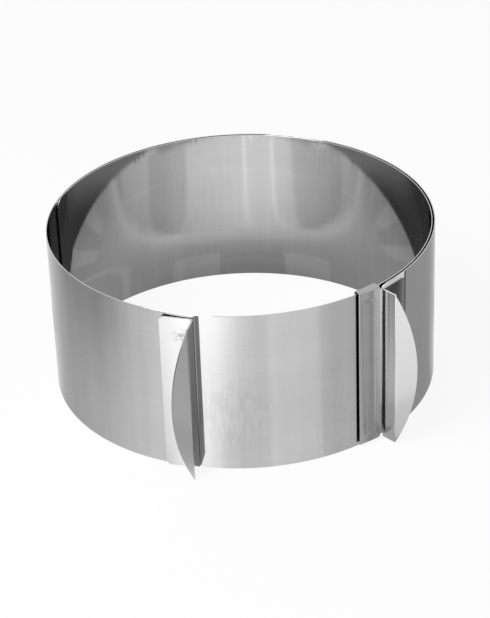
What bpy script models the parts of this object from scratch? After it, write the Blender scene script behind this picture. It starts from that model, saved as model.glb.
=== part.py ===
"""Adjustable cake frame: one springy stainless band rolled into a ring, with a grip
at each side of its overlap. The band's outer end carries the right grip and a clip that
the inner layer slides through, so the ring goes from about 170 to 300 mm across.

Metres, +Z up. The front is -Y, and angles are counted from there, anticlockwise seen
from above. Places along the band are arc lengths from the left grip's web: positive
runs on to the band's inner end, negative back to its outer end.
"""

import math

import bmesh
import bpy
from mathutils import Vector

# The band, as it stands at rest
BAND_HEIGHT = 0.085
BAND_THICKNESS = 0.0005
REST_RADIUS = 0.0962
LAYER_PITCH = 0.00135
LEFT_GRIP_ANGLE = math.radians(-14)
TURN_TO_OUTER_END = math.radians(-305.5)
TURN_TO_INNER_END = math.radians(269.3)
END_CORNER_RADIUS = 0.003

# The band bends, so it is cut into short links, each hinged to the next
GRIP_LINK_BEFORE = 0.024
GRIP_LINK_AFTER = 0.006
OUTER_LINKS = 17
INNER_LINKS = 15
LINK_GAP = 0.0003

# What lies on the band keeps this clear of it
SEAT_GAP = 0.0003

# The two grips, each one folded sheet: a plate on the band, a web and a half-moon
GRIP_THICKNESS = 0.0008
GRIP_TOP_MARGIN = 0.0018
GRIP_BOTTOM_MARGIN = 0.0004
LEFT_PLATE_WIDTH = 0.0183
RIGHT_PLATE_WIDTH = 0.016
PLATE_CORNER_RADIUS = 0.0025
LEFT_WEB_DEPTH = 0.0116
RIGHT_WEB_DEPTH = 0.0094
FOLD_RADIUS = 0.001
HALF_MOON_WIDTH = 0.0106
LEFT_FLARE = math.radians(48)
RIGHT_FLARE = math.radians(50)
RIGHT_WEB_FROM_END = 0.0033

# The clip round both layers at the outer end, one folded sheet with a pressed panel
CLIP_THICKNESS = 0.0007
CLIP_WIDTH = 0.0121
CLIP_OVER_BAND_END = 0.0012
CLIP_DROP = 0.0006
CLIP_BOTTOM_MARGIN = 0.001
CLIP_FOLD_RADIUS = 0.0006
CLIP_INSIDE_CLEARANCE = 0.001
TONGUE_END_MARGIN = 0.0045
RECESS_DEPTH = 0.0003
RECESS_SIDE_MARGIN = 0.0019
RECESS_END_MARGIN = 0.004
RECESS_CORNER_RADIUS = 0.0028
RECESS_SLOPE = 0.0011

# How finely curves are divided
LINK_STEPS = 8
CORNER_STEPS = 4
PLATE_STEPS = 5
FOLD_STEPS = 4
HALF_MOON_STEPS = 5
GRIP_ROWS = 14
CLIP_STEPS = 12
CLIP_ROWS = 22
MERGE_DISTANCE = 1e-7

STEEL_COLOUR = (0.62, 0.62, 0.61, 1.0)
BAND_ROUGHNESS = 0.24
GRIP_ROUGHNESS = 0.32


SPIRAL_LOSS = LAYER_PITCH / (2 * math.pi)


def place_of(turn):
    """The place along the band that lies a turn from the left grip. The radius falls with it."""
    return REST_RADIUS * turn - SPIRAL_LOSS * turn**2 / 2


def turn_at(place):
    """The turn from the left grip to a place along the band."""
    return 2 * place / (REST_RADIUS + math.sqrt(REST_RADIUS**2 - 2 * SPIRAL_LOSS * place))


def directions_at(place):
    """Unit vectors at a place: outwards, and onwards along the band."""
    angle = LEFT_GRIP_ANGLE + turn_at(place)
    outward = Vector((math.sin(angle), -math.cos(angle), 0))
    onward = Vector((math.cos(angle), math.sin(angle), 0))
    return outward, onward


def point_at(place, offset, height):
    """A point that lies offset outside the middle of the band."""
    radius = REST_RADIUS - SPIRAL_LOSS * turn_at(place)
    outward, _ = directions_at(place)
    return outward * (radius + offset) + Vector((0, 0, height))


def steps_between(first, last, count):
    return [first + (last - first) * step / count for step in range(count + 1)]


def corner_inset(distance, radius):
    """How far a rounded corner is cut back, at a distance from the edge that it rounds."""
    if distance >= radius:
        return 0
    return radius - math.sqrt(radius**2 - (radius - distance) ** 2)


def corner_levels(low, high, radius, middle_rows):
    """Levels from low to high that are close together at the rounded corners."""
    shares = [1 - math.cos(math.pi / 2 * step / CORNER_STEPS) for step in range(CORNER_STEPS + 1)]
    lower = [low + radius * share for share in shares]
    upper = [high - radius * share for share in reversed(shares)]
    return lower[:-1] + steps_between(lower[-1], upper[0], middle_rows) + upper[1:]


def smooth_step(share):
    share = min(max(share, 0), 1)
    return share * share * (3 - 2 * share)


def steel(name, roughness):
    material = bpy.data.materials.new(name)
    material.use_nodes = True
    shader = material.node_tree.nodes["Principled BSDF"]
    shader.inputs["Base Color"].default_value = STEEL_COLOUR
    shader.inputs["Metallic"].default_value = 1
    shader.inputs["Roughness"].default_value = roughness
    return material


def sheet(name, rows, origin, thickness, material):
    """A folded sheet: rows of points on its middle surface, given its thickness by Solidify."""
    mesh = bpy.data.meshes.new(name)
    bm = bmesh.new()
    grid = [[bm.verts.new(point - origin) for point in row] for row in rows]
    for lower, upper in zip(grid, grid[1:]):
        for corner in range(len(lower) - 1):
            bm.faces.new((lower[corner], lower[corner + 1], upper[corner + 1], upper[corner]))
    bmesh.ops.remove_doubles(bm, verts=bm.verts, dist=MERGE_DISTANCE)
    bm.to_mesh(mesh)
    bm.free()
    mesh.shade_smooth()
    mesh.materials.append(material)
    piece = bpy.data.objects.new(name, mesh)
    piece.location = origin
    bpy.context.collection.objects.link(piece)
    wall = piece.modifiers.new("wall", "SOLIDIFY")
    wall.thickness = thickness
    wall.offset = 0
    wall.use_even_offset = True
    return piece


def band_link(name, start, end, hinge, material, rounded_end=None):
    """One stretch of the band. Its origin is on its hinge, in the middle of the band."""
    inner, outer = min(start, end) + LINK_GAP / 2, max(start, end) - LINK_GAP / 2
    if rounded_end is not None:
        inner, outer = (start, outer) if rounded_end == start else (inner, end)
    places = steps_between(inner, outer, LINK_STEPS)
    if rounded_end is not None:
        places = corner_levels(inner, outer, END_CORNER_RADIUS, LINK_STEPS)
        side = inner if rounded_end == start else outer
    rows = []
    for place in places:
        cut = 0
        if rounded_end is not None:
            cut = corner_inset(abs(place - side), END_CORNER_RADIUS)
        rows.append([point_at(place, 0, cut), point_at(place, 0, BAND_HEIGHT - cut)])
    return sheet(name, rows, point_at(hinge, 0, 0), BAND_THICKNESS, material)


def make_band(material):
    """The root link carries the left grip, and a chain of links leaves it each way."""
    outer_cuts = steps_between(-GRIP_LINK_BEFORE, place_of(TURN_TO_OUTER_END), OUTER_LINKS)
    inner_cuts = steps_between(GRIP_LINK_AFTER, place_of(TURN_TO_INNER_END), INNER_LINKS)
    links = [band_link("grip_band", -GRIP_LINK_BEFORE, GRIP_LINK_AFTER, 0, material)]
    for number, (near, far) in enumerate(zip(outer_cuts, outer_cuts[1:]), 1):
        last = far if number == OUTER_LINKS else None
        links.append(band_link(f"outer_band_{number:02}", far, near, near, material, last))
    for number, (near, far) in enumerate(zip(inner_cuts, inner_cuts[1:]), 1):
        last = far if number == INNER_LINKS else None
        links.append(band_link(f"inner_band_{number:02}", near, far, near, material, last))
    return links


def half_moon_width(height, low, high):
    """Width of the half-moon at a height: a flat arc from the grip's bottom to its top."""
    half = (high - low) / 2
    radius = (half**2 + HALF_MOON_WIDTH**2) / (2 * HALF_MOON_WIDTH)
    reach = radius**2 - (height - (low + high) / 2) ** 2
    return max(math.sqrt(reach) - (radius - HALF_MOON_WIDTH), 0)


def half_moon_point(distance, web_end, flare):
    """Where a distance along the second fold and the half-moon ends, as (aside, outward)."""
    bend = math.pi / 2 - flare
    turned = min(distance / FOLD_RADIUS, bend)
    straight = max(distance - bend * FOLD_RADIUS, 0)
    aside = FOLD_RADIUS * (1 - math.cos(turned)) + straight * math.cos(flare)
    outward = web_end + FOLD_RADIUS * math.sin(turned) + straight * math.sin(flare)
    return aside, outward


def grip(name, web_place, side, plate_width, rolled, web_depth, flare, material):
    """A grip whose plate and half-moon point onwards (side 1) or back (side -1).

    A rolled plate follows the band; the other one is flat and leaves it a little.
    """
    base = BAND_THICKNESS / 2 + SEAT_GAP + GRIP_THICKNESS / 2
    web_end = base + web_depth - FOLD_RADIUS
    outward, onward = directions_at(web_place)
    foot = point_at(web_place, 0, 0)
    low, high = GRIP_BOTTOM_MARGIN, BAND_HEIGHT - GRIP_TOP_MARGIN
    fold_shares = [(step / HALF_MOON_STEPS) ** 2 for step in range(1, HALF_MOON_STEPS + 1)]

    def local(aside, away, height):
        return foot + onward * (side * aside) + outward * away + Vector((0, 0, height))

    rows = []
    for height in corner_levels(low, high, PLATE_CORNER_RADIUS, GRIP_ROWS):
        cut = corner_inset(min(height - low, high - height), PLATE_CORNER_RADIUS)
        row = []
        for aside in steps_between(plate_width - cut, FOLD_RADIUS, PLATE_STEPS)[:-1]:
            on_band = point_at(web_place + side * aside, base, height)
            row.append(on_band if rolled else local(aside, base, height))
        for turn in steps_between(0, math.pi / 2, FOLD_STEPS):
            aside = FOLD_RADIUS * (1 - math.sin(turn))
            row.append(local(aside, base + FOLD_RADIUS * (1 - math.cos(turn)), height))
        row.append(local(0, web_end, height))
        width = half_moon_width(height, low, high)
        for share in fold_shares:
            row.append(local(*half_moon_point(width * share, web_end, flare), height))
        rows.append(row)
    return sheet(name, rows, foot, GRIP_THICKNESS, material)


def recess_at(across, height, low, high):
    """Depth of the pressed panel: a long hollow with rounded corners and sloping sides."""
    beside = abs(across) - (CLIP_WIDTH / 2 - RECESS_SIDE_MARGIN - RECESS_CORNER_RADIUS)
    half = (high - low) / 2 - RECESS_END_MARGIN - RECESS_CORNER_RADIUS
    beyond = abs(height - (low + high) / 2) - half
    inside = RECESS_CORNER_RADIUS - math.hypot(max(beside, 0), max(beyond, 0))
    inside -= min(max(beside, beyond), 0)
    return RECESS_DEPTH * smooth_step(inside / RECESS_SLOPE)


def clip_section(place, across, front):
    """One upright section of the clip, from the front panel's foot over to the tongue's."""
    low, top = CLIP_BOTTOM_MARGIN, BAND_HEIGHT + SEAT_GAP + CLIP_THICKNESS / 2
    back = -(BAND_THICKNESS / 2 + CLIP_INSIDE_CLEARANCE + CLIP_THICKNESS / 2)
    shoulder = top - CLIP_FOLD_RADIUS
    points = []
    for height in steps_between(low, shoulder, CLIP_ROWS):
        depth = recess_at(across, height, low, shoulder)
        points.append(point_at(place, front - depth, height))
    for turn in steps_between(0, math.pi / 2, FOLD_STEPS)[1:]:
        away = front - CLIP_FOLD_RADIUS * (1 - math.cos(turn))
        points.append(point_at(place, away, shoulder + CLIP_FOLD_RADIUS * math.sin(turn)))
    for turn in steps_between(0, math.pi / 2, FOLD_STEPS):
        away = back + CLIP_FOLD_RADIUS * (1 - math.sin(turn))
        points.append(point_at(place, away, shoulder + CLIP_FOLD_RADIUS * math.cos(turn)))
    points.append(point_at(place, back, TONGUE_END_MARGIN))
    return points


def make_clip(material):
    """The clip is welded on the outer layer's end and reaches forward over the inner layer."""
    end_place = place_of(TURN_TO_OUTER_END + 2 * math.pi)
    right = end_place + CLIP_OVER_BAND_END
    left = right - CLIP_WIDTH
    on_band = LAYER_PITCH + BAND_THICKNESS / 2 + SEAT_GAP + CLIP_THICKNESS / 2
    ramp = CLIP_WIDTH - CLIP_OVER_BAND_END
    rows = []
    for place in steps_between(left, right, CLIP_STEPS):
        front = on_band - CLIP_DROP * smooth_step((end_place - place) / ramp)
        rows.append(clip_section(place, place - (left + right) / 2, front))
    return sheet("guide_clip", rows, point_at(end_place, 0, 0), CLIP_THICKNESS, material)


def centre_on_floor(frame, pieces):
    """Moves the whole frame so that the middle of its box's bottom is at the origin."""
    bpy.context.view_layer.update()
    depsgraph = bpy.context.evaluated_depsgraph_get()
    points = []
    for piece in pieces:
        shape = piece.evaluated_get(depsgraph)
        points += [shape.matrix_world @ vertex.co for vertex in shape.to_mesh().vertices]
        shape.to_mesh_clear()
    low = Vector([min(point[axis] for point in points) for axis in range(3)])
    high = Vector([max(point[axis] for point in points) for axis in range(3)])
    middle = (low + high) / 2
    frame.location = Vector((-middle.x, -middle.y, -low.z))


def make_cake_frame():
    band_steel = steel("band_steel", BAND_ROUGHNESS)
    grip_steel = steel("grip_steel", GRIP_ROUGHNESS)
    pieces = make_band(band_steel)
    left = (0, -1, LEFT_PLATE_WIDTH, False, LEFT_WEB_DEPTH, LEFT_FLARE)
    pieces.append(grip("left_grip", *left, grip_steel))
    web = place_of(TURN_TO_OUTER_END) + RIGHT_WEB_FROM_END
    right = (web, 1, RIGHT_PLATE_WIDTH, True, RIGHT_WEB_DEPTH, RIGHT_FLARE)
    pieces.append(grip("right_grip", *right, grip_steel))
    pieces.append(make_clip(grip_steel))
    frame = bpy.data.objects.new("cake_frame", None)
    bpy.context.collection.objects.link(frame)
    for piece in pieces:
        piece.parent = frame
    centre_on_floor(frame, pieces)


for old in list(bpy.data.objects):
    bpy.data.objects.remove(old)
make_cake_frame()
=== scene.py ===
import math

import bmesh
import bpy
from mathutils import Matrix, Vector


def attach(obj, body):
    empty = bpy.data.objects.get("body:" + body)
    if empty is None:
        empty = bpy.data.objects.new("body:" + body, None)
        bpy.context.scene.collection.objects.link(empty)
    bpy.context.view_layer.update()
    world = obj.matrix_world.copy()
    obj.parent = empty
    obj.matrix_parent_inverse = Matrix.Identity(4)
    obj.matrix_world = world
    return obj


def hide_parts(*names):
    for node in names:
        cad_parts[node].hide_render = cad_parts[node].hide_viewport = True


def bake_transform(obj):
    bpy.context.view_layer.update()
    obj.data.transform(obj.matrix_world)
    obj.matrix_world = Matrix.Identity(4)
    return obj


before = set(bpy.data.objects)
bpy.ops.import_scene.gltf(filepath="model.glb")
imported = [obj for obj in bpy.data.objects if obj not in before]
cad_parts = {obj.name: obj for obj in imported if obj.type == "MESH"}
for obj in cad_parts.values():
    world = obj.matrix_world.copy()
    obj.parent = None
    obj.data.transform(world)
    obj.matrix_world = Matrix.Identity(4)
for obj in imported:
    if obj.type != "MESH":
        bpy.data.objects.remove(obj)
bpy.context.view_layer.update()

scene = bpy.context.scene
print("frame loaded:", len(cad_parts), "nodes")

# The rolled band at rest. Places are lengths along it from the left grip's web:
# positive runs on to the inner end, negative back to the outer end.
ring = {
    "centre": (-0.00033813, 0.00695854),  # of the ring, seen from above
    "bandHeight": 0.085,
    "bandThickness": 0.0005,
    "restRadius": 0.0962,
    "layerPitch": 0.00135,  # from one layer to the next
    "leftGripAngle": math.radians(-14),  # from the front, anticlockwise
    "turnToOuterEnd": math.radians(-305.5),
    "turnToInnerEnd": math.radians(269.3),
    "gripLinkBefore": 0.024,
    "gripLinkAfter": 0.006,
    "outerLinks": 17,
    "innerLinks": 15,
    "seatGap": 0.0003,  # between the band and the sheets on it
}
spiralLoss = ring["layerPitch"] / (2 * math.pi)


def placeOf(turn):
    return ring["restRadius"] * turn - spiralLoss * turn**2 / 2


def turnAt(place):
    radius = ring["restRadius"]
    return 2 * place / (radius + math.sqrt(radius**2 - 2 * spiralLoss * place))


def directionsAt(place):
    angle = ring["leftGripAngle"] + turnAt(place)
    outward = Vector((math.sin(angle), -math.cos(angle), 0))
    return outward, Vector((math.cos(angle), math.sin(angle), 0))


def pointAt(place, offset, height):
    outward, onward = directionsAt(place)
    radius = ring["restRadius"] - spiralLoss * turnAt(place)
    return Vector((*ring["centre"], height)) + outward * (radius + offset)


def stepsBetween(first, last, count):
    return [first + (last - first) * step / count for step in range(count + 1)]


def smoothStep(share):
    share = min(max(share, 0), 1)
    return share * share * (3 - 2 * share)


# A wire is a socket of a node tree. Sums on wires add Math nodes, node() adds any other.
class Wire:
    def __init__(self, tree, socket=None):
        self.tree, self.socket = tree, socket

    def node(self, kind, settings=None, sockets=None, output=0):
        made = self.tree.nodes.new(kind)
        for name, value in (settings or {}).items():
            if name == "stops":
                self.setStops(made.color_ramp.elements, value)
            else:
                setattr(made, name, value)
        for name, value in (sockets or {}).items():
            if isinstance(value, Wire):
                self.tree.links.new(value.socket, made.inputs[name])
            else:
                made.inputs[name].default_value = value
        return Wire(self.tree, made.outputs[output]) if made.outputs else None

    def setStops(self, stops, shades):
        while len(stops) < len(shades):
            stops.new(1)
        for stop, (position, shade) in zip(stops, shades):
            stop.position, stop.color = position, (shade, shade, shade, 1)

    def other(self, output):  # another output of the same node
        return Wire(self.tree, self.socket.node.outputs[output])

    def sum(self, operation, *values):
        numbered = dict(enumerate((self, *values)))
        return self.node("ShaderNodeMath", {"operation": operation}, numbered)

    def flipped(self, operation, first):
        return self.node("ShaderNodeMath", {"operation": operation}, {0: first, 1: self})

    def __add__(self, other): return self.sum("ADD", other)
    def __radd__(self, other): return self.sum("ADD", other)
    def __sub__(self, other): return self.sum("SUBTRACT", other)
    def __rsub__(self, other): return self.flipped("SUBTRACT", other)
    def __mul__(self, other): return self.sum("MULTIPLY", other)
    def __rmul__(self, other): return self.sum("MULTIPLY", other)
    def __truediv__(self, other): return self.sum("DIVIDE", other)
    def __rtruediv__(self, other): return self.flipped("DIVIDE", other)

    def vector(self, operation, *values, output=0):
        numbered = dict(enumerate((self, *values)))
        return self.node("ShaderNodeVectorMath", {"operation": operation}, numbered, output)

    def rise(self, start, end):  # 0 up to start, 1 from end, smooth between
        return self.node(
            "ShaderNodeMapRange",
            {"interpolation_type": "SMOOTHSTEP"},
            {"Value": self, "From Min": start, "From Max": end},
        )

    def tint(self, first, second):  # from the first colour to the second by this wire
        return self.node(
            "ShaderNodeMix", {"data_type": "RGBA"}, {0: self, 6: first, 7: second}, 2
        )


def grey(shade):
    return (shade, shade, shade, 1)


def startMaterial(name):
    material = bpy.data.materials.new(name)
    material.use_nodes = True
    material.node_tree.nodes.clear()
    return material, Wire(material.node_tree)


def finishSteel(start, colour, roughness, height):
    bump = start.node(
        "ShaderNodeBump", None, {"Strength": 1.0, "Distance": 1.0, "Height": height}
    )
    surface = start.node(
        "ShaderNodeBsdfPrincipled",
        None,
        {"Base Color": colour, "Metallic": 1.0, "Roughness": roughness, "Normal": bump},
    )
    start.node("ShaderNodeOutputMaterial", None, {"Surface": surface})


def noiseAt(place, scale, detail, warp=0.0):
    return place.node(
        "ShaderNodeTexNoise",
        None,
        {"Vector": place, "Scale": scale, "Detail": detail, "Distortion": warp},
    )


def steelShades(v):
    return grey(v["steel"] - v["steelSpread"]), grey(v["steel"] + v["steelSpread"])


# Polished strip steel. Its pattern follows the band through the "along" attribute:
# x is the place along the band and z the height.
bandFinish = {
    "steel": 0.70,
    "steelSpread": 0.10,
    "roughness": 0.07,
    # how fine each pattern is along the strip, across it and up it, per metre
    "grain": (20.0, 0, 6250.0),  # from rolling, runs along the strip
    "cloud": (45.0, 0, 45.0),
    "bands": (1 / 0.0065, 0, 2.5),  # faint and upright, from rolling the strip round, and in colour also painted reflection streaks
    "wave": (1 / 0.024, 0, 9.0),
    "scratches": (30.0, 0, 1600.0),  # long, along the strip
    "strokes": (1 / 0.0018, 0, 1 / 0.011),  # upright rub marks
    "worn": (24.0, 0, 17.0),
    # where a pattern starts to show and where it shows in full
    "scratchEdge": (0.66, 0.72),
    "scratchPatch": (0.42, 0.6),
    "strokeEdge": (0.38, 0.62),
    "wornEdge": (0.5, 0.66),
    "wornShare": 0.3,
    "rubSpot": (0.016, 0.03, 0.0078, 0.026),  # along the strip, height, inner and outer radius
    "cloudTone": 0.35,
    "bandTone": 0.32,
    "grainTone": 0.35,
    "rubTone": 0.24,
    "scratchTone": 0.05,
    "grainRoughness": 0.03,
    "scratchRoughness": 0.1,
    "rubRoughness": 0.05,
    "cloudRoughness": 0.03,
    "waveHeight": 0.00002,
    "bandHeight": 0.000001,
    "grainHeight": 0.0000004,
    "scratchDepth": 0.0000012,
    "rubHeight": 0.0000004,
}


def makeBandSteel():
    v = bandFinish
    material, start = startMaterial("bandSteel")
    along = start.node("ShaderNodeAttribute", {"attribute_name": "along"}, None, 1)

    def pattern(name, detail, warp=0.0):
        return noiseAt(along.vector("MULTIPLY", v[name]), 1.0, detail, warp)

    grain = pattern("grain", 2.0)
    cloud = pattern("cloud", 3.0)
    bands = pattern("bands", 3.0)
    wave = pattern("wave", 2.0)
    scratches = pattern("scratches", 1.0).rise(*v["scratchEdge"])
    scratches = scratches * cloud.rise(*v["scratchPatch"])
    strokes = pattern("strokes", 1.0, 0.3).rise(*v["strokeEdge"])
    # the marks lie in one spot beside the left grip and, fainter, wherever the strip is worn
    worn = pattern("worn", 2.0).rise(*v["wornEdge"])
    x, y, inner, outer = v["rubSpot"]
    away = along.vector("DISTANCE", (x, 0.0, y), output=1)
    rubbed = (worn * v["wornShare"] + (1 - away.rise(inner, outer))).sum("MINIMUM", 1.0)
    rubs = (0.5 - strokes) * rubbed
    roughness = (
        (grain - 0.5) * v["grainRoughness"]
        + v["roughness"]
        + scratches * v["scratchRoughness"]
        + rubs * v["rubRoughness"]
        + (cloud - 0.5) * v["cloudRoughness"]
    )
    shade = (
        (cloud - 0.5) * v["cloudTone"]
        # the upright bands are in part painted reflection streaks
        + (bands - 0.5) * v["bandTone"]
        + (grain - 0.5) * v["grainTone"]
        + rubs * v["rubTone"]
        + scratches * v["scratchTone"]
        + 0.5
    )
    colour = shade.rise(0.0, 1.0).tint(*steelShades(v))
    height = (
        wave * v["waveHeight"]
        + bands * v["bandHeight"]
        + grain * v["grainHeight"]
        - scratches * v["scratchDepth"]
        + rubs * v["rubHeight"]
    )
    finishSteel(start, colour, roughness, height)
    return material


# Satin sheet steel. Here y of "along" is a part's painted light: painted shade below 0, painted
# highlight above it.
gripFinishAndPaintedLight = {
    "steel": 0.70,
    "steelSpread": 0.02,
    # the greys of the painted shade and of the painted highlight
    "paintedShade": 0.47,
    "paintedHighlight": 0.94,
    "heat": 0.56,
    "weldPatch": (0.0103, 0.011, 0.0315),  # across the plate, lowest, pitch: as the welds lie
    "patchEdge": (0.0058, 0.00174),  # outer and inner radius
    "patchLowestTone": -0.05,  # parts with painted shade have no patches
    "roughness": 0.15,
    "grain": (5200.0, 5200.0, 34.0),
    "grainRoughness": 0.05,
    "grainHeight": 0.0000005,
    "cloudScale": 70.0,
    "cloudEdge": (0.3, 0.7),
    "cloudRoughness": 0.06,
    "mottleScale": 1 / 0.0028,
    "mottleEdge": (0.42, 0.58),
    "mottleHeight": 0.000006,
}


def makeGripSteel():
    v = gripFinishAndPaintedLight
    material, start = startMaterial("gripSteel")
    along = start.node("ShaderNodeAttribute", {"attribute_name": "along"}, None, 1)
    mottle = noiseAt(along, v["mottleScale"], 2.0)
    cloud = noiseAt(along, v["cloudScale"], 3.0)
    grain = noiseAt(along.vector("MULTIPLY", v["grain"]), 1.0, 2.0)
    roughness = (
        (grain - 0.5) * v["grainRoughness"]
        + v["roughness"]
        + (cloud - 0.5) * v["cloudRoughness"]
    )
    across = start.node("ShaderNodeSeparateXYZ", None, {0: along})
    tone, level = across.other(1), across.other(2)
    plain = cloud.rise(*v["cloudEdge"]).tint(*steelShades(v))
    # painted light: a part's tone tints it towards painted shade below 0 and painted highlight
    # above it
    paintedShade = (tone * -1).rise(0.0, 1.0).tint(plain, grey(v["paintedShade"]))
    paintedLightColour = tone.rise(0.0, 1.0).tint(paintedShade, grey(v["paintedHighlight"]))
    # the heat of each weld leaves a mottled patch round it
    x, low, pitch = v["weldPatch"]
    outer, inner = v["patchEdge"]
    nearest = ((level - low + pitch / 2) / pitch).sum("FRACT") * pitch - pitch / 2
    side = across - x
    away = (nearest * nearest + side * side).sum("SQRT")
    heat = (1 - away.rise(inner, outer)) * tone.sum("GREATER_THAN", v["patchLowestTone"])
    colour = (heat * mottle.rise(*v["mottleEdge"])).tint(paintedLightColour, grey(v["heat"]))
    height = mottle * v["mottleHeight"] + grain * v["grainHeight"]
    finishSteel(start, colour, roughness, height)
    return material


weldFinish = {
    "steel": 0.58,
    "steelSpread": 0.16,
    "roughness": 0.3,
    "burntScale": 1900.0,
    "burntEdge": (0.35, 0.65),
    "burntRoughness": 0.2,
    "burntHeight": 0.00001,
}


def makeWeldSteel():
    v = weldFinish
    material, start = startMaterial("weldSteel")
    burnt = noiseAt(start.node("ShaderNodeTexCoord", None, None, 3), v["burntScale"], 3.0)
    colour = burnt.rise(*v["burntEdge"]).tint(*steelShades(v))
    roughness = (burnt - 0.5) * v["burntRoughness"] + v["roughness"]
    finishSteel(start, colour, roughness, burnt * v["burntHeight"])
    return material


bandSteel = makeBandSteel()
gripSteel = makeGripSteel()
weldSteel = makeWeldSteel()
print("steels ready")


# The camera stands in front and above, a little turned on its own axis
camera = {
    "fromRing": (0.00108, -0.98770, 0.60930),
    "tilt": math.radians(59.72),
    "roll": math.radians(-2.085),
    "lens": 130.3,
    "sensor": 36,
    "sees": (0.05, 20),  # from and to, in metres
}


def placeCamera():
    data = bpy.data.cameras.new("camera")
    data.lens, data.sensor_width = camera["lens"], camera["sensor"]
    data.clip_start, data.clip_end = camera["sees"]
    eye = bpy.data.objects.new("camera", data)
    turned = Matrix.Rotation(camera["tilt"], 4, "X") @ Matrix.Rotation(camera["roll"], 4, "Z")
    place = Vector((*ring["centre"], 0)) + Vector(camera["fromRing"])
    eye.matrix_world = Matrix.Translation(place) @ turned
    scene.collection.objects.link(eye)
    scene.camera = eye


placeCamera()
print("camera placed")


# One stretch of the band is a round-edged profile swept along the spiral
strip = {
    "stepsPerLink": 26,
    "endSteps": 90,
    "endCrowding": 2.0,  # the steps of a free end lie closer towards its corners
    "edgeSteps": 3,
    "edgeRound": 0.4999,  # share of the thickness
    "endCorner": 0.003,
    "springLength": 0.09,
    "springRise": 0.00055,
    "underRightPlate": 0.0225,  # doesn't bend under the grips' plates
    "underLeftPlate": 0.022,
    "pastLeftWeb": 0.004,
}

stripInputs = [
    ("From", "NodeSocketFloat"),
    ("To", "NodeSocketFloat"),
    ("Steps", "NodeSocketInt"),
    ("Crowding", "NodeSocketFloat"),
    ("Corner Radius", "NodeSocketFloat"),
    ("Rest Radius", "NodeSocketFloat"),
    ("Spiral Loss", "NodeSocketFloat"),
    ("Grip Angle", "NodeSocketFloat"),
    ("Ring Centre", "NodeSocketVector"),
    ("Height", "NodeSocketFloat"),
    ("Thickness", "NodeSocketFloat"),
    ("Edge Steps", "NodeSocketInt"),
    ("Edge Radius", "NodeSocketFloat"),
    ("Steel", "NodeSocketMaterial"),
]


def newGeometryTree(name, inputs):
    tree = bpy.data.node_groups.new(name, "GeometryNodeTree")
    for label, kind in inputs:
        tree.interface.new_socket(label, in_out="INPUT", socket_type=kind)
    tree.interface.new_socket("Geometry", in_out="OUTPUT", socket_type="NodeSocketGeometry")
    source = tree.nodes.new("NodeGroupInput")
    wires = {label: Wire(tree, source.outputs[label]) for label, kind in inputs}
    return tree, Wire(tree), wires


def closeGeometryTree(start, shape, steel):
    real = start.node("GeometryNodeRealizeInstances", None, {0: shape})
    painted = start.node("GeometryNodeSetMaterial", None, {"Geometry": real, "Material": steel})
    start.node("NodeGroupOutput", None, {0: painted})


def makeStripTree():
    tree, start, given = newGeometryTree("sweptStrip", stripInputs)
    line = start.node("GeometryNodeCurvePrimitiveLine", None, {"End": (1, 0, 0)})
    path = start.node(
        "GeometryNodeResampleCurve", None, {"Curve": line, "Count": given["Steps"] + 1}
    )
    share = start.node("GeometryNodeSplineParameter")
    left = (1 - share).sum("POWER", given["Crowding"])
    place = given["To"] - (given["To"] - given["From"]) * left
    radius, loss = given["Rest Radius"], given["Spiral Loss"]
    root = (radius * radius - place * loss * 2).sum("SQRT")
    turn = place * 2 / (radius + root)
    angle = given["Grip Angle"] + turn
    reach = radius - loss * turn
    middle = given["Height"] / 2
    right, back = reach * angle.sum("SINE"), reach * angle.sum("COSINE") * -1
    spot = start.node("ShaderNodeCombineXYZ", None, {"X": right, "Y": back, "Z": middle})
    rolled = start.node(
        "GeometryNodeSetPosition",
        None,
        {"Geometry": path, "Position": spot.vector("ADD", given["Ring Centre"])},
    )
    upright = start.node("GeometryNodeSetCurveNormal", {"mode": "Z_UP"}, {"Curve": rolled})
    marked = start.node(
        "GeometryNodeStoreNamedAttribute",
        {"data_type": "FLOAT", "domain": "POINT"},
        {"Geometry": upright, "Name": "place", "Value": place},
    )
    section = start.node(
        "GeometryNodeCurvePrimitiveQuadrilateral",
        None,
        {"Width": given["Thickness"], "Height": given["Height"]},
    )
    rounded = start.node(
        "GeometryNodeFilletCurve",
        {"mode": "POLY"},
        {"Curve": section, "Count": given["Edge Steps"], "Radius": given["Edge Radius"]},
    )
    swept = start.node(
        "GeometryNodeCurveToMesh",
        None,
        {"Curve": marked, "Profile Curve": rounded, "Fill Caps": True},
    )
    # the free ends have rounded corners, so the strip narrows towards them
    kept = start.node(
        "GeometryNodeInputNamedAttribute", {"data_type": "FLOAT"}, {"Name": "place"}
    )
    corner = given["Corner Radius"]
    within = (corner - (given["To"] - kept).sum("ABSOLUTE")).sum("MAXIMUM", 0.0)
    cut = corner - (corner * corner - within * within).sum("MAXIMUM", 0.0).sum("SQRT")
    here = start.node("GeometryNodeInputPosition")
    level = start.node("ShaderNodeSeparateXYZ", None, {0: here}, 2)
    moved = (level - middle) * cut * -2 / given["Height"]
    lift = start.node("ShaderNodeCombineXYZ", None, {"Z": moved})
    shaped = start.node("GeometryNodeSetPosition", None, {"Geometry": swept, "Offset": lift})
    closeGeometryTree(start, shaped, given["Steel"])
    return tree


stripTree = makeStripTree()


def grownFromTree(name, tree, values):
    holder = bpy.data.objects.new(name + "_grower", bpy.data.meshes.new(name + "_grower"))
    scene.collection.objects.link(holder)
    grower = holder.modifiers.new("grower", "NODES")
    grower.node_group = tree
    for item in tree.interface.items_tree:
        if item.item_type == "SOCKET" and item.in_out == "INPUT":
            grower[item.identifier] = values[item.name]
    seen = holder.evaluated_get(bpy.context.evaluated_depsgraph_get())
    mesh = bpy.data.meshes.new_from_object(seen)
    holder.modifiers.clear()
    bpy.data.objects.remove(holder)
    mesh.name = name
    piece = bpy.data.objects.new(name, mesh)
    scene.collection.objects.link(piece)
    return piece


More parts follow.
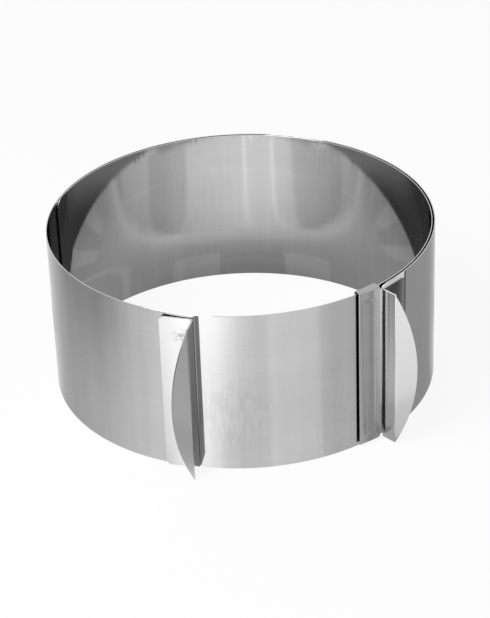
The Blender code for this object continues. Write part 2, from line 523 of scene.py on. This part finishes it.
def sectionNormal(point, place, radius, corner, end):
    # walls face straight out or in, round edges turn with their own curve
    outward, onward = directionsAt(place)
    middle = ring["restRadius"] - spiralLoss * turnAt(place)
    aside = (point - Vector((*ring["centre"], point.z))).dot(outward) - middle
    half = ring["bandHeight"] / 2
    edge = Vector((0, 0, 1 if point.z > half else -1))
    if corner and abs(end - place) < corner:
        away = (corner - abs(end - place)) / corner
        edge = edge * math.sqrt(max(1 - away**2, 0)) + onward * (away if end > 0 else -away)
    flat = min(max(aside / radius, -1), 1)
    return (outward * flat + edge * math.sqrt(max(1 - flat**2, 0))).normalized()


def smoothStrip(mesh, corner, end):
    # neighbouring stretches get the same normals where they meet, so no seam shows
    places = [item.value for item in mesh.attributes["place"].data]
    radius = ring["bandThickness"] / 2
    along = mesh.attributes.new("along", "FLOAT_VECTOR", "POINT")
    for vertex, place, item in zip(mesh.vertices, places, along.data):
        item.vector = (place, 0.0, vertex.co.z)
    normals = []
    for polygon in mesh.polygons:
        cap = len({round(places[index], 7) for index in polygon.vertices}) == 1
        for index in polygon.vertices:
            if cap:
                normals.append(polygon.normal.copy())
            else:
                point = mesh.vertices[index].co
                normals.append(sectionNormal(point, places[index], radius, corner, end))
    mesh.shade_smooth()
    mesh.normals_split_custom_set(normals)
    mesh.attributes.remove(mesh.attributes["place"])


def springOut(mesh):
    # the inner end springs out towards the layer round it
    end, run = placeOf(ring["turnToInnerEnd"]), strip["springLength"]
    for vertex, item in zip(mesh.vertices, mesh.attributes["along"].data):
        place = item.vector[0]
        rise = strip["springRise"] * smoothStep((place - end + run) / run)
        vertex.co += directionsAt(place)[0] * rise


def growStrip(name, first, last, freeEnd=False):
    corner = strip["endCorner"] if freeEnd else 0.0
    piece = grownFromTree(
        name,
        stripTree,
        {
            "From": first,
            "To": last,
            "Steps": strip["endSteps"] if freeEnd else strip["stepsPerLink"],
            "Crowding": strip["endCrowding"] if freeEnd else 1.0,
            "Corner Radius": corner,
            "Rest Radius": ring["restRadius"],
            "Spiral Loss": spiralLoss,
            "Grip Angle": ring["leftGripAngle"],
            "Ring Centre": (*ring["centre"], 0.0),
            "Height": ring["bandHeight"],
            "Thickness": ring["bandThickness"],
            "Edge Steps": strip["edgeSteps"],
            "Edge Radius": ring["bandThickness"] * strip["edgeRound"],
            "Steel": bandSteel,
        },
    )
    smoothStrip(piece.data, corner, last)
    springOut(piece.data)
    return piece


def makeArm(side, cuts, nearEnd, lastJoin):
    # stretches run from the middle of one link to the middle of the next
    links = [f"{side}_band_{number:02}" for number in range(1, len(cuts))]
    joins = [nearEnd] + [(a + b) / 2 for a, b in zip(cuts, cuts[1:])][:-1] + [lastJoin]
    for link, carrier, first, last in zip(links, ["grip_band"] + links, joins, joins[1:]):
        piece = growStrip(link.replace("band", "strip"), first, last)
        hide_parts(link)
        middle = ring["bandHeight"] / 2
        pointAt(first, 0, middle)
        pointAt(last, 0, middle)
        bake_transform(piece)
    tip = growStrip(f"{side}_strip_end", lastJoin, cuts[-1], freeEnd=True)
    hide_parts(links[-1])
    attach(tip, links[-1])


def makeBand():
    outerEnd, innerEnd = placeOf(ring["turnToOuterEnd"]), placeOf(ring["turnToInnerEnd"])
    middle = growStrip("grip_strip", -strip["underLeftPlate"], strip["pastLeftWeb"])
    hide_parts("grip_band")
    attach(middle, "grip_band")
    outerCuts = stepsBetween(-ring["gripLinkBefore"], outerEnd, ring["outerLinks"])
    makeArm("outer", outerCuts, -strip["underLeftPlate"], outerEnd + strip["underRightPlate"])
    innerCuts = stepsBetween(ring["gripLinkAfter"], innerEnd, ring["innerLinks"])
    makeArm("inner", innerCuts, strip["pastLeftWeb"], (innerCuts[-1] + innerCuts[-2]) / 2)


makeBand()
print("band rolled")


# The grips and the clip are folded sheets, built as rows of points on their middle
sheets = {
    "burrSteps": 3,
    "burrAngle": math.radians(50),  # sharper edges than this are rounded
    "sameSpot": 1e-7,  # points closer than this are one
}

grips = {
    "thickness": 0.0008,
    "topMargin": 0.0018,
    "bottomMargin": 0.0004,
    "plateCorner": 0.0025,
    "foldRadius": 0.001,
    "halfMoonWidth": 0.0106,
    "webFromRightEnd": 0.0033,
    "burr": 0.0003,  # rounding of the cut edges
    "rows": 56,
    "cornerSteps": 8,
    "foldSteps": 10,
    "plateSteps": 16,
    "webSteps": 3,
    "halfMoonSteps": 12,
    "halfMoonCrowding": 1.5,  # its steps lie closer towards the fold
}

# Side 1 points onwards along the band. A plate's roll is its share of the band's own curve.
# The tones are painted light: how much painted shade (below 0) and painted highlight (above 0)
# a part gets over plain steel.
leftGrip = {
    "side": -1,
    "plateWidth": 0.0163,
    "roll": 0.25,
    "webDepth": 0.0116,
    "flare": math.radians(48),
    "platePaintedLight": 0.3,
    "webPaintedLight": 0.0,
    "halfMoonPaintedLight": -1.0,
}
rightGrip = {
    "side": 1,
    "plateWidth": 0.016,
    "roll": 1.0,
    "webDepth": 0.0094,
    "flare": math.radians(50),
    "platePaintedLight": 0.0,
    "webPaintedLight": 1.0,
    "halfMoonPaintedLight": 1.0,
}

clip = {
    "thickness": 0.0007,
    "width": 0.0121,
    "overBandEnd": 0.0012,
    "drop": 0.0006,
    "bottomMargin": 0.001,
    "foldRadius": 0.0006,
    "insideClearance": 0.001,
    "tongueEndMargin": 0.0045,
    "recessDepth": 0.0003,
    "recessSideMargin": 0.0019,
    "recessEndMargin": 0.004,
    "recessCorner": 0.0028,
    "recessSlope": 0.0018,
    "burr": 0.00024,
    # painted shade: the panel a little darker, the top fold darkest
    "tone": -0.3,
    "topPaintedShade": -1.0,
    "across": 44,
    "rows": 120,
    "foldSteps": 8,
    "tongueSteps": 8,
}


def cornerInset(distance, radius):
    if distance >= radius:
        return 0
    return radius - math.sqrt(radius**2 - (radius - distance) ** 2)


def cornerLevels(low, high, radius):
    shares = [1 - math.cos(turn) for turn in stepsBetween(0, math.pi / 2, grips["cornerSteps"])]
    lower = [low + radius * share for share in shares]
    upper = [high - radius * share for share in reversed(shares)]
    return lower[:-1] + stepsBetween(lower[-1], upper[0], grips["rows"]) + upper[1:]


def foldedSheet(name, rows, thickness, burr, tones):
    bm = bmesh.new()
    layer = bm.verts.layers.float_vector.new("along")
    grid = []
    for row in rows:
        line, run = [], 0.0
        for index, point in enumerate(row):
            run += (point - row[index - 1]).length if index else 0.0
            vertex = bm.verts.new(point)
            vertex[layer] = (run, tones[index], point.z)
            line.append(vertex)
        grid.append(line)
    for lower, upper in zip(grid, grid[1:]):
        for index in range(len(lower) - 1):
            bm.faces.new((lower[index], lower[index + 1], upper[index + 1], upper[index]))
    bmesh.ops.remove_doubles(bm, verts=bm.verts, dist=sheets["sameSpot"])
    mesh = bpy.data.meshes.new(name)
    bm.to_mesh(mesh)
    bm.free()
    mesh.shade_smooth()
    mesh.materials.append(gripSteel)
    piece = bpy.data.objects.new(name, mesh)
    scene.collection.objects.link(piece)
    wall = piece.modifiers.new("wall", "SOLIDIFY")
    wall.thickness, wall.offset, wall.use_even_offset = thickness, 0, True
    rounding = piece.modifiers.new("burr", "BEVEL")
    rounding.width, rounding.segments = burr, sheets["burrSteps"]
    rounding.limit_method, rounding.angle_limit = "ANGLE", sheets["burrAngle"]
    rounding.harden_normals = True
    return piece


def halfMoonWidth(height, low, high):
    half, width = (high - low) / 2, grips["halfMoonWidth"]
    radius = (half**2 + width**2) / (2 * width)
    reach = radius**2 - (height - (low + high) / 2) ** 2
    return max(math.sqrt(reach) - (radius - width), 0)


def halfMoonPoint(distance, webEnd, flare):
    fold = grips["foldRadius"]
    bend = math.pi / 2 - flare
    turned = min(distance / fold, bend)
    straight = max(distance - bend * fold, 0)
    aside = fold * (1 - math.cos(turned)) + straight * math.cos(flare)
    return aside, webEnd + fold * math.sin(turned) + straight * math.sin(flare)


def plateAt(own, webPlace, aside, away, height):
    run = own["side"] * aside
    flat = pointAt(webPlace, away, height) + directionsAt(webPlace)[1] * run
    return flat.lerp(pointAt(webPlace + run, away, height), own["roll"])


def makeGrip(name, own, webPlace, body):
    v, side, fold = grips, own["side"], grips["foldRadius"]
    base = ring["bandThickness"] / 2 + ring["seatGap"] + v["thickness"] / 2
    webEnd = base + own["webDepth"] - fold
    outward, onward = directionsAt(webPlace)
    foot = pointAt(webPlace, 0, 0)
    low, high = v["bottomMargin"], ring["bandHeight"] - v["topMargin"]

    def local(aside, away, height):
        return foot + onward * (side * aside) + outward * away + Vector((0, 0, height))

    rows = []
    for height in cornerLevels(low, high, v["plateCorner"]):
        cut = cornerInset(min(height - low, high - height), v["plateCorner"])
        row = []
        for aside in stepsBetween(own["plateWidth"] - cut, fold, v["plateSteps"])[:-1]:
            row.append(plateAt(own, webPlace, aside, base, height))
        for turn in stepsBetween(0, math.pi / 2, v["foldSteps"]):
            row.append(
                local(fold * (1 - math.sin(turn)), base + fold * (1 - math.cos(turn)), height)
            )
        for away in stepsBetween(base + fold, webEnd, v["webSteps"])[1:]:
            row.append(local(0, away, height))
        width = halfMoonWidth(height, low, high)
        for share in stepsBetween(0, 1, v["halfMoonSteps"])[1:]:
            reach = width * share ** v["halfMoonCrowding"]
            row.append(local(*halfMoonPoint(reach, webEnd, own["flare"]), height))
        rows.append(row)
    plain, web = v["plateSteps"] + v["foldSteps"], v["webSteps"] + 1
    # each part's painted light
    tones = [own["platePaintedLight"]] * plain + [own["webPaintedLight"]] * web
    tones += [own["halfMoonPaintedLight"]] * v["halfMoonSteps"]
    piece = foldedSheet(name, rows, v["thickness"], v["burr"], tones)
    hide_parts(name.replace("Grip", "_grip"))
    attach(piece, body)


# Spot welds hold each grip's plate to the band
welds = {
    "fromWeb": 0.006,
    "lowest": 0.011,
    "pitch": 0.0315,
    "count": 3,
    "radius": 0.0011,
    "rise": 0.00009,
    "sides": 20,
    "rings": 8,
}

weldInputs = [
    ("Lowest Place", "NodeSocketVector"),
    ("Pitch", "NodeSocketFloat"),
    ("Count", "NodeSocketInt"),
    ("Radius", "NodeSocketFloat"),
    ("Rise", "NodeSocketFloat"),
    ("Sides", "NodeSocketInt"),
    ("Rings", "NodeSocketInt"),
    ("Facing", "NodeSocketFloat"),
    ("Steel", "NodeSocketMaterial"),
]


def makeWeldTree():
    tree, start, given = newGeometryTree("weldDots", weldInputs)
    step = start.node("ShaderNodeCombineXYZ", None, {"Z": given["Pitch"]})
    line = start.node(
        "GeometryNodeMeshLine",
        {"mode": "OFFSET"},
        {"Count": given["Count"], "Start Location": given["Lowest Place"], "Offset": step},
    )
    ball = start.node(
        "GeometryNodeMeshUVSphere",
        None,
        {"Segments": given["Sides"], "Rings": given["Rings"], "Radius": given["Radius"]},
    )
    flat = start.node(
        "ShaderNodeCombineXYZ", None, {"X": 1.0, "Y": given["Rise"] / given["Radius"], "Z": 1.0}
    )
    laid = start.node(
        "GeometryNodeTransform", None, {"Geometry": ball, "Rotation": (math.pi / 2, 0, 0)}
    )
    pressed = start.node("GeometryNodeTransform", None, {"Geometry": laid, "Scale": flat})
    facing = start.node("ShaderNodeCombineXYZ", None, {"Z": given["Facing"]})
    dots = start.node(
        "GeometryNodeInstanceOnPoints",
        None,
        {"Points": line, "Instance": pressed, "Rotation": facing},
    )
    closeGeometryTree(start, dots, given["Steel"])
    return tree


weldTree = makeWeldTree()


def makeWelds(name, own, webPlace, body):
    v = welds
    base = ring["bandThickness"] / 2 + ring["seatGap"] + grips["thickness"]
    onward = directionsAt(webPlace + own["side"] * v["fromWeb"] * own["roll"])[1]
    spot = plateAt(own, webPlace, v["fromWeb"], base, v["lowest"])
    piece = grownFromTree(
        name,
        weldTree,
        {
            "Lowest Place": tuple(spot),
            "Pitch": v["pitch"],
            "Count": v["count"],
            "Radius": v["radius"],
            "Rise": v["rise"],
            "Sides": v["sides"],
            "Rings": v["rings"],
            "Facing": math.atan2(onward.y, onward.x),
            "Steel": weldSteel,
        },
    )
    piece.data.shade_smooth()
    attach(piece, body)


makeGrip("leftGrip", leftGrip, 0, "grip_band")
rightWeb = placeOf(ring["turnToOuterEnd"]) + grips["webFromRightEnd"]
lastOuter = f"outer_band_{ring['outerLinks']:02}"
makeGrip("rightGrip", rightGrip, rightWeb, lastOuter)
makeWelds("leftWelds", leftGrip, 0, "grip_band")
makeWelds("rightWelds", rightGrip, rightWeb, lastOuter)
print("grips folded")


def recessAt(across, height, low, high):
    v, corner = clip, clip["recessCorner"]
    beside = abs(across) - (v["width"] / 2 - v["recessSideMargin"] - corner)
    half = (high - low) / 2 - v["recessEndMargin"] - corner
    beyond = abs(height - (low + high) / 2) - half
    inside = corner - math.hypot(max(beside, 0), max(beyond, 0)) - min(max(beside, beyond), 0)
    return v["recessDepth"] * smoothStep(inside / v["recessSlope"])


def clipSection(place, across, front):
    v = clip
    low, top = v["bottomMargin"], ring["bandHeight"] + ring["seatGap"] + v["thickness"] / 2
    back = -(ring["bandThickness"] / 2 + v["insideClearance"] + v["thickness"] / 2)
    fold, quarter = v["foldRadius"], stepsBetween(0, math.pi / 2, v["foldSteps"])
    shoulder = top - fold
    points = [
        pointAt(place, front - recessAt(across, height, low, shoulder), height)
        for height in stepsBetween(low, shoulder, v["rows"])
    ]
    for turn in quarter[1:]:
        away = front - fold * (1 - math.cos(turn))
        points.append(pointAt(place, away, shoulder + fold * math.sin(turn)))
    for turn in quarter:
        away = back + fold * (1 - math.sin(turn))
        points.append(pointAt(place, away, shoulder + fold * math.cos(turn)))
    for height in stepsBetween(shoulder, v["tongueEndMargin"], v["tongueSteps"])[1:]:
        points.append(pointAt(place, back, height))
    return points


def makeClip():
    v = clip
    endPlace = placeOf(ring["turnToOuterEnd"] + 2 * math.pi)
    right = endPlace + v["overBandEnd"]
    left = right - v["width"]
    onBand = (
        ring["layerPitch"] + ring["bandThickness"] / 2 + ring["seatGap"] + v["thickness"] / 2
    )
    rows = []
    for place in stepsBetween(left, right, v["across"]):
        # past the outer end the panel drops towards the inner layer
        beyond = (endPlace - place) / (v["width"] - v["overBandEnd"])
        front = onBand - v["drop"] * smoothStep(beyond)
        rows.append(clipSection(place, place - (left + right) / 2, front))
    front, top, back = v["rows"] + 1, v["foldSteps"] * 2 + 1, v["tongueSteps"]
    # painted shade on the panel and, darker still, on the top fold
    tones = [v["tone"]] * front + [v["topPaintedShade"]] * top + [v["tone"]] * back
    piece = foldedSheet("guideClip", rows, v["thickness"], v["burr"], tones)
    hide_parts("guide_clip")
    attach(piece, lastOuter)


makeClip()
print("clip folded")


# A pale studio. The floor is white to the eye; in the steel it shows painted light and shade,
# as light would lie on it.
studio = {
    "floorSize": 3.0,
    "floorDrop": 0.0002,  # below the object
    "paper": 0.9,
    "shadowShare": 0.12,
    "lampPlace": (-0.5, -0.5, 0.9),
    "lampTarget": (0, 0, 0.03),
    "lampSize": 0.6,
    "lampPower": 6,
    "skyLight": 0.6,
    "skyMoreToEye": 0.4,
    "skyMoreInSteel": 0.25,
}

# The painted light and shade that the floor shows in the steel. "Ahead" is towards the front of
# the ring,
# "back" the other way, and all lengths on the floor are from the ring's middle.
paintedFloorLight = {
    # degrees round the outside from the front, and the painted floor light seen in the band
    # there, at its foot and at its top
    "outside": [
        (-90, 0.80, 0.78), (-80, 0.70, 0.68), (-70, 0.48, 0.46), (-62, 0.46, 0.32),
        (-48, 0.53, 0.30), (-41, 0.60, 0.40), (-35, 0.69, 0.58), (-31, 0.70, 0.66),
        (-27, 0.77, 0.73), (-23, 0.78, 0.80), (-16, 1.22, 1.40), (-11, 1.16, 1.38),
        (-6, 0.84, 1.26), (-1, 0.70, 0.90), (3, 0.70, 0.76), (6, 0.71, 0.76),
        (7.2, 0.77, 0.84), (16, 0.74, 0.78), (21.8, 0.70, 0.72), (22.9, 0.60, 0.63),
        (27, 0.56, 0.58), (33.6, 0.54, 0.54), (36, 0.33, 0.33), (41, 0.38, 0.38),
        (43.5, 0.34, 0.30), (45, 0.30, 0.05), (51, 0.30, 0.05), (54, 0.36, 0.36),
        (64, 0.34, 0.36), (72, 0.34, 0.36), (78, 0.55, 0.45), (90, 0.80, 0.78),
    ],
    "footAndTop": (0.012, 0.095),  # heights on the band up to and from which these hold
    "slope": 1.73,  # how far a look runs along the floor for each unit of height
    "outsideGuess": 0.75,
    "outsideRounds": 5,
    # the same inside: metres to the back, and degrees from the back
    "inside": [
        (-0.09, 0.82), (-0.04, 0.82), (-0.01, 0.78), (0.015, 0.72), (0.035, 0.63),
        (0.049, 0.54), (0.053, 0.49), (0.057, 0.41), (0.062, 0.355), (0.07, 0.32),
        (0.078, 0.31), (0.087, 0.265), (0.096, 0.25),
    ],
    "insideTurns": [
        (-60, 0.62), (-38.4, 0.58), (-37.6, 0.70), (-28.2, 0.71), (-27.4, 0.57), (-22, 0.61),
        (-16.3, 0.70), (-15.5, 0.86), (-8, 0.92), (2, 1.0), (12, 0.97), (16.2, 0.91),
        (17.0, 0.73), (26, 0.63), (32.8, 0.58), (33.6, 0.70), (41.4, 0.69), (42.2, 0.58),
        (60, 0.62),
    ],
    "insideRounds": 3,
    "beforeFocus": 0.002,  # keeps spots past the wall's focus from turning round
    "streaks": [(2.1, 0.6, 0.3), (10.5, 0.9, 0.28)],  # painted highlight streaks: degrees, half width, how much brighter
    "farToNear": (0.043, 0.053),  # spots up to here show high on the wall, from here low
    "nearSides": (0.0, 0.05, 0.1),  # from, to, how much darker
    # a painted highlight shelf and a painted shade patch, low on the inner wall
    # degrees, half width, its softness, start, its softness, how much brighter
    "lowShelf": (3.5, 27.5, 0.6, 0.0695, 0.001, 0.15),
    "lowPatch": (3.9, 11.4, 0.4, 0.0695, 0.0007, -0.18),
    # a painted highlight shaped like a flame, low on the inner wall
    "flame": (-41.0, 2.2, 0.22),
    "flameStart": (0.06, 0.066),
    "faintRing": (0.053, 0.002, 0.11),  # a faint painted highlight ring: radius, half width, how much brighter
    "faintRingBack": 0.02,
    # painted shade on the floor close behind the ring: how far out, down to which share, and
    # how far round to the back (as a cosine) that starts and is in full
    "behindReach": 0.15,
    "behindShare": 0.33,
    "behindTurn": (0.2, 0.6),
    "closing": 0.0125,  # how far the front of the ring draws in when it closes
    "closingRun": 0.03,
    # painted shade on light that went from steel to steel first: two places and its share there
    "secondInside": (0.03, 0.26, 0.09, 0.055),
    "secondOutside": (-0.02, 0.26, 0.04, 0.85),
    "thirdOutside": 0.08,
}


def toneRamp(stops, wire):
    low, high = stops[0][0], stops[-1][0]
    placed = [((place - low) / (high - low), tone) for place, tone in stops]
    return wire.node("ShaderNodeValToRGB", {"stops": placed}, {0: (wire - low) / (high - low)})


def between(wire, low, high, soft):
    return wire.rise(low - soft, low + soft) * (1 - wire.rise(high - soft, high + soft))


def stripe(wire, middle, half, more):
    return between(wire, middle - half / 2, middle + half / 2, half / 2) * more


def slope(wire, first, atFirst, last, atLast):
    return wire.rise(first, last) * (atLast - atFirst) + atFirst


def turnOutside(right, ahead, reach):
    # where on the band, from the front, someone in front sees this spot
    bearing = right.sum("ARCTAN2", ahead)
    share = (ring["restRadius"] / reach).sum("MINIMUM", 1.0)
    turn = bearing * paintedFloorLight["outsideGuess"]
    for step in range(paintedFloorLight["outsideRounds"]):
        turn = (bearing + (share * turn.sum("SINE")).sum("ARCSINE")) * 0.5
    return turn


def outsideTone(right, ahead, reach):
    v, radius = paintedFloorLight, ring["restRadius"]
    turn = turnOutside(right, ahead, reach)
    # and how high on the band
    aside, near = turn.sum("SINE") * radius, turn.sum("COSINE") * radius
    run = (reach * reach - aside * aside).sum("MAXIMUM", 0.0).sum("SQRT") - near
    low, high = v["footAndTop"]
    degrees = turn * math.degrees(1)
    foot = toneRamp([(place, foot) for place, foot, top in v["outside"]], degrees)
    top = toneRamp([(place, top) for place, foot, top in v["outside"]], degrees)
    return run.rise(low * v["slope"], high * v["slope"]).tint(foot, top)


def turnInside(aside, back, side):
    # where on the inner wall, in degrees from the back, someone in front sees this spot
    v, turn = paintedFloorLight, aside * 0
    for step in range(v["insideRounds"]):
        focus = ring["restRadius"] / (turn.sum("COSINE") * 2)
        away = ((back - focus) * side).sum("MAXIMUM", v["beforeFocus"])
        turn = aside.sum("ARCTAN2", away) * 0.5
    return turn * math.degrees(1)


def lowPart(near, back, middle, half, soft, start, startSoft, more):
    across = between(near, middle - half, middle + half, soft)
    return across * back.rise(start - startSoft, start + startSoft) * more


def insideTone(right, ahead):
    v = paintedFloorLight
    back = ahead * -1
    tone = toneRamp(v["inside"], back)
    # spots before the wall's focus are seen across it, spots close to the wall directly
    far, near = turnInside(right * -1, back, -1), turnInside(right, back, 1)
    high = toneRamp(v["insideTurns"], far)
    for streak in v["streaks"]:
        high = high * (stripe(far, *streak) + 1)
    behind = back - v["faintRingBack"]
    off = (right * right + behind * behind).sum("SQRT")
    high = high * (stripe(off, *v["faintRing"]) + 1)
    start, end, loss = v["nearSides"]
    low = 1 - right.sum("ABSOLUTE").rise(start, end) * loss
    for part in ("lowShelf", "lowPatch"):
        low = low * (lowPart(near, back, *v[part]) + 1)
    low = low * (stripe(near, *v["flame"]) * back.rise(*v["flameStart"]) + 1)
    closeness = back.rise(*v["farToNear"])
    return tone * (high * (1 - closeness) + low * closeness)


def paintedFloorGlow(start):
    v = paintedFloorLight
    spot = start.node("ShaderNodeTexCoord", None, None, 3)
    across = start.node("ShaderNodeSeparateXYZ", None, {0: spot})
    right, ahead = across - ring["centre"][0], ring["centre"][1] - across.other(1)
    reach = (right * right + ahead * ahead).sum("SQRT")
    edge = ring["restRadius"] - ahead.rise(0.0, v["closingRun"]) * v["closing"]
    inner = reach.sum("LESS_THAN", edge)
    # painted shade: light that went from steel to steel first shows the floor darker
    bounces = start.node("ShaderNodeLightPath").other("Glossy Depth")
    again = bounces.sum("GREATER_THAN", 1.5)
    third = bounces.sum("GREATER_THAN", 2.5) * (1 - v["thirdOutside"])
    insideAgain = slope(ahead * -1, *v["secondInside"])
    outsideAgain = 1 - again * (1 - slope(right, *v["secondOutside"]) * (1 - third))
    # painted shade on the floor close behind the ring
    backness = (ahead / reach * -1).rise(*v["behindTurn"])
    close = 1 - reach.rise(ring["restRadius"], v["behindReach"])
    behind = 1 - close * backness * (1 - v["behindShare"])
    outside = outsideTone(right, ahead, reach) * behind * outsideAgain
    inside = insideTone(right, ahead) * (1 - again) + insideAgain * again
    return inside * inner + outside * (1 - inner)


def makeFloor():
    v = studio
    bm = bmesh.new()
    bmesh.ops.create_grid(bm, x_segments=1, y_segments=1, size=v["floorSize"] / 2)
    mesh = bpy.data.meshes.new("floor")
    bm.to_mesh(mesh)
    bm.free()
    floor = bpy.data.objects.new("floor", mesh)
    floor.location.z = -v["floorDrop"]
    scene.collection.objects.link(floor)
    material, start = startMaterial("floorPaperAndPaintedLight")
    toEye = start.node("ShaderNodeLightPath")  # its first output, Is Camera Ray
    inSteel, through = toEye.other("Is Glossy Ray"), toEye.other("Is Transmission Ray")
    plainWhite = toEye + through
    # in the steel the floor glows with its painted light and shade
    glow = paintedFloorGlow(start) * inSteel + plainWhite
    plain = start.node("ShaderNodeBsdfDiffuse", None, {"Color": grey(v["paper"])})
    white = start.node("ShaderNodeEmission", None, {"Color": grey(1), "Strength": glow})
    lit = inSteel + plainWhite * (1 - v["shadowShare"])
    both = start.node("ShaderNodeMixShader", None, {0: lit, 1: plain, 2: white})
    start.node("ShaderNodeOutputMaterial", None, {"Surface": both})
    mesh.materials.append(material)


def makeSky():
    v = studio
    world = bpy.data.worlds.new("studio")
    world.use_nodes = True
    world.node_tree.nodes.clear()
    start = Wire(world.node_tree)
    toEye = start.node("ShaderNodeLightPath")
    inSteel = toEye.other("Is Glossy Ray")
    strength = toEye * v["skyMoreToEye"] + inSteel * v["skyMoreInSteel"] + v["skyLight"]
    sky = start.node("ShaderNodeBackground", None, {"Color": grey(1), "Strength": strength})
    start.node("ShaderNodeOutputWorld", None, {"Surface": sky})
    scene.world = world


def makeKeyLamp():
    v = studio
    data = bpy.data.lights.new("keyLamp", "AREA")
    data.shape, data.size, data.energy = "DISK", v["lampSize"], v["lampPower"]
    lamp = bpy.data.objects.new("keyLamp", data)
    lamp.location = v["lampPlace"]
    look = Vector(v["lampTarget"]) - Vector(v["lampPlace"])
    lamp.rotation_euler = look.to_track_quat("-Z", "Y").to_euler()
    scene.collection.objects.link(lamp)


def makeStudio():
    makeFloor()
    makeSky()
    makeKeyLamp()
    scene.view_settings.view_transform = "Standard"


makeStudio()
print("studio lit")
